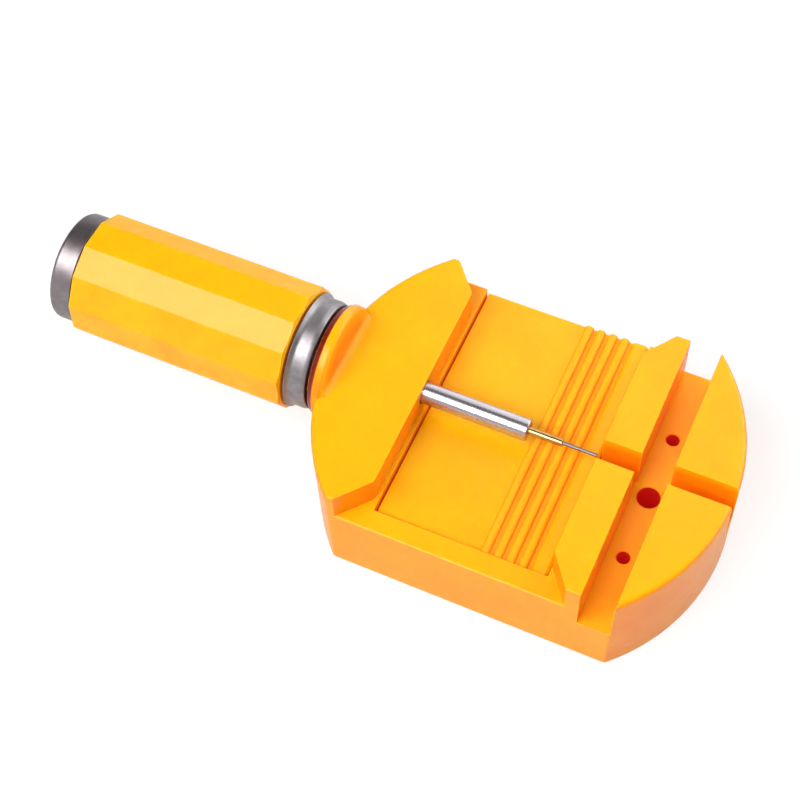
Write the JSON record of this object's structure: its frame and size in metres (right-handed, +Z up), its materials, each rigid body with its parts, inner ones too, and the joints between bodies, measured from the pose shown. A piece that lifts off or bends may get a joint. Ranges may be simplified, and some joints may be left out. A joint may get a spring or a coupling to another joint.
{
  "type": "watch link remover",
  "caption": "Bench tool that pushes link pins out of a watch bracelet: moulded block with a lifting tray, a slotted jaw and a screw-fed push rod turned by a faceted handle.",
  "frame": {"origin": "on the bench under the middle of the whole tool, halfway from the end cap to the front of the block", "axes": "+X from the handle to the front of the block, +Y to the tray's open side, +Z up"},
  "size_m": [0.1594, 0.068, 0.0379],
  "materials": {
    "yellow_body": "satin gloss moulded plastic, warm yellow",
    "yellow_base": "satin moulded plastic, warm yellow",
    "yellow_tray": "satin moulded plastic, warm yellow",
    "yellow_wheel": "satin moulded plastic, warm yellow",
    "yellow_grip": "glossy moulded plastic, warm yellow",
    "polished_collar": "polished steel",
    "polished_cap": "polished steel",
    "bright_rod": "bright ground steel",
    "pin_steel": "drawn steel wire",
    "brass_holder": "turned brass",
    "brass_washer": "stamped brass",
    "plated_screw": "plated steel",
    "plated_thread": "plated steel",
    "plated_nut": "plated steel"
  },
  "bodies": {
    "head": {"housing": "yellow_body", "base_plate": "yellow_base", "base_screw_1": "plated_screw", "base_screw_2": "plated_screw", "base_screw_3": "plated_screw", "base_screw_4": "plated_screw", "threaded_stem": "plated_thread", "stem_screw_1": "plated_screw", "stem_screw_2": "plated_screw", "stem_screw_3": "plated_screw"},
    "pusher": {"push_rod": "bright_rod", "front_washer": "brass_washer", "rear_washer": "brass_washer", "rod_locknut": "plated_nut"},
    "driver": {"driver_holder": "brass_holder", "driver_pin": "pin_steel"},
    "handle": {"handle_grip": "yellow_grip", "handle_collar": "polished_collar", "spare_holder_1": "brass_holder", "spare_holder_2": "brass_holder", "spare_holder_3": "brass_holder", "spare_pin_1": "pin_steel", "spare_pin_2": "pin_steel", "spare_pin_3": "pin_steel"},
    "cap": {"end_cap": "polished_cap"},
    "tray": {"bracelet_tray": "yellow_tray"},
    "wheel": {"height_wheel": "yellow_wheel"}
  },
  "joints": [
    {"name": "pin_feed", "type": "slide", "parent": "head", "child": "pusher", "axis": [1, 0, 0], "range_m": [-0.024, 0.0004]},
    {"name": "handle_turn", "type": "hinge", "parent": "pusher", "child": "handle", "pos_m": [-0.0465, 0, 0.0238], "axis": [1, 0, 0], "range_deg": [-4938, 83]},
    {"name": "cap_removal", "type": "slide", "parent": "handle", "child": "cap", "axis": [-1, 0, 0], "range_m": [0, 0.03]},
    {"name": "driver_release", "type": "slide", "parent": "pusher", "child": "driver", "axis": [1, 0, 0], "range_m": [0, 0.006]},
    {"name": "tray_lift", "type": "slide", "parent": "head", "child": "tray", "axis": [0, 0, 1], "range_m": [0, 0.0028]},
    {"name": "wheel_turn", "type": "hinge", "parent": "head", "child": "wheel", "pos_m": [0.0292, 0, 0.002], "axis": [0, 0, -1], "range_deg": [0, 720]}
  ],
  "couplings": [
    {"joint": "handle_turn", "follows": "pin_feed", "rad_per_m": 3590.4},
    {"joint": "wheel_turn", "follows": "tray_lift", "rad_per_m": 4487.9}
  ]
}
